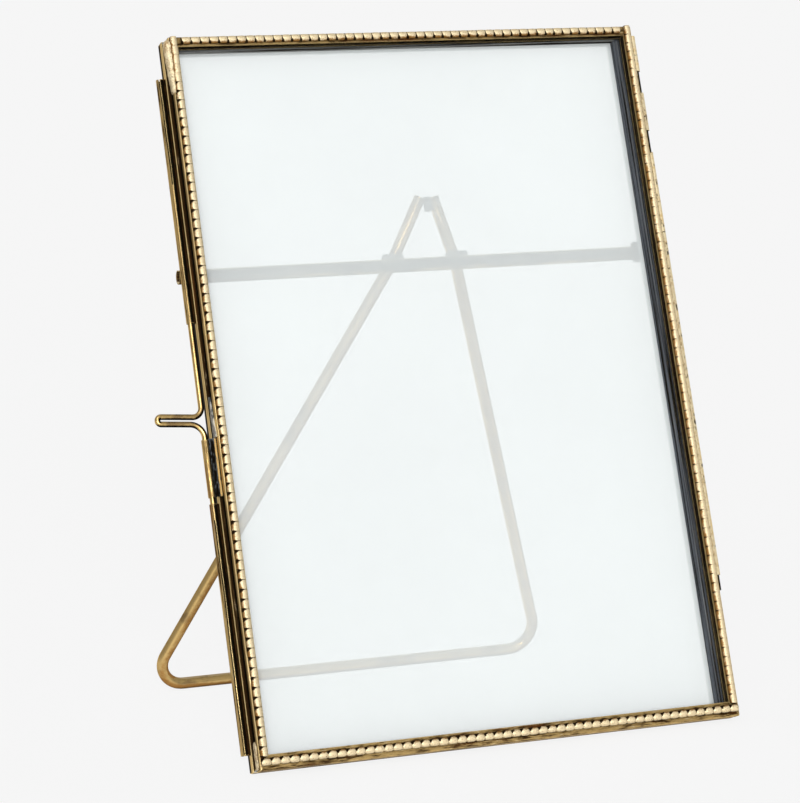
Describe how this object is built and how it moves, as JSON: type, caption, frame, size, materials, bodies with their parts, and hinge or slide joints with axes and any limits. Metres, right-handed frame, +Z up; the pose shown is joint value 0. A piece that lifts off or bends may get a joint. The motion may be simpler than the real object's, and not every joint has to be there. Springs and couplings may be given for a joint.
{
  "type": "standing photo frame",
  "caption": "Standing photo frame of hinged glazed brass leaves with beaded edges, closed by a sliding latch wire and propped by a fold-out wire easel.",
  "frame": {"origin": "centre of the bounding box's base, on the surface that the frame stands on", "axes": "+Z up; the glazed front faces -Y and leans back, the easel stands behind it at +Y; +X points to the hinge side, -X to the latch side"},
  "size_m": [0.1248, 0.0692, 0.1494],
  "materials": {
    "bead_brass": "antique brass, bright on the crowns and dark brown in the grooves",
    "aged_brass": "antique brass, patinated dark brown to black in its recesses",
    "tube_brass": "antique brass with brown patina",
    "dark_wire": "blackened brass wire",
    "easel_brass": "antique brass wire with purple-brown patina at the bends",
    "solder": "tarnished soft solder, pale gold to grey",
    "clear_glass": "clear polished glass",
    "hazy_glass": "glass that looks milky, so what stands behind it shows faintly"
  },
  "bodies": {
    "rear_leaf": {"rear_left_channel": "aged_brass", "rear_top_channel": "aged_brass", "rear_right_channel": "aged_brass", "rear_bottom_channel": "aged_brass", "rear_glass": "hazy_glass", "upper_latch_tube": "tube_brass", "lower_latch_tube": "tube_brass", "latch_tube_solder": "solder", "rear_upper_hinge_tube": "tube_brass", "rear_lower_hinge_tube": "tube_brass", "rear_hinge_solder": "solder", "hinge_pin": "dark_wire", "crossbar_left_tube": "tube_brass", "crossbar_right_tube": "tube_brass", "crossbar_rod": "dark_wire", "crossbar_solder": "solder"},
    "front_leaf": {"front_left_channel": "aged_brass", "front_top_channel": "aged_brass", "front_right_channel": "aged_brass", "front_bottom_channel": "aged_brass", "front_glass": "clear_glass", "keeper_tube": "tube_brass", "keeper_solder": "solder", "front_upper_hinge_tube": "tube_brass", "front_lower_hinge_tube": "tube_brass", "front_hinge_solder": "solder", "front_corner_solder": "solder", "left_bead_strip": "bead_brass", "right_bead_strip": "bead_brass", "top_bead_strip": "bead_brass", "bottom_bead_strip": "bead_brass"},
    "latch": {"latch_wire": "dark_wire"},
    "easel": {"easel_wire": "easel_brass", "crossbar_centre_tube": "tube_brass", "easel_solder": "solder"}
  },
  "joints": [
    {"name": "front_leaf_hinge", "type": "hinge", "parent": "rear_leaf", "child": "front_leaf", "pos_m": [0.06155, -0.00024, 0.07442], "axis": [0, 0.3955, 0.9184], "range_deg": [0, 170]},
    {"name": "latch_slide", "type": "slide", "parent": "rear_leaf", "child": "latch", "axis": [0, 0.3955, 0.9184], "range_m": [0, 0.0182]},
    {"name": "easel_fold", "type": "hinge", "parent": "rear_leaf", "child": "easel", "pos_m": [0.00525, 0.01481, 0.09837], "axis": [-1, 0, 0], "range_deg": [0, 34]}
  ]
}
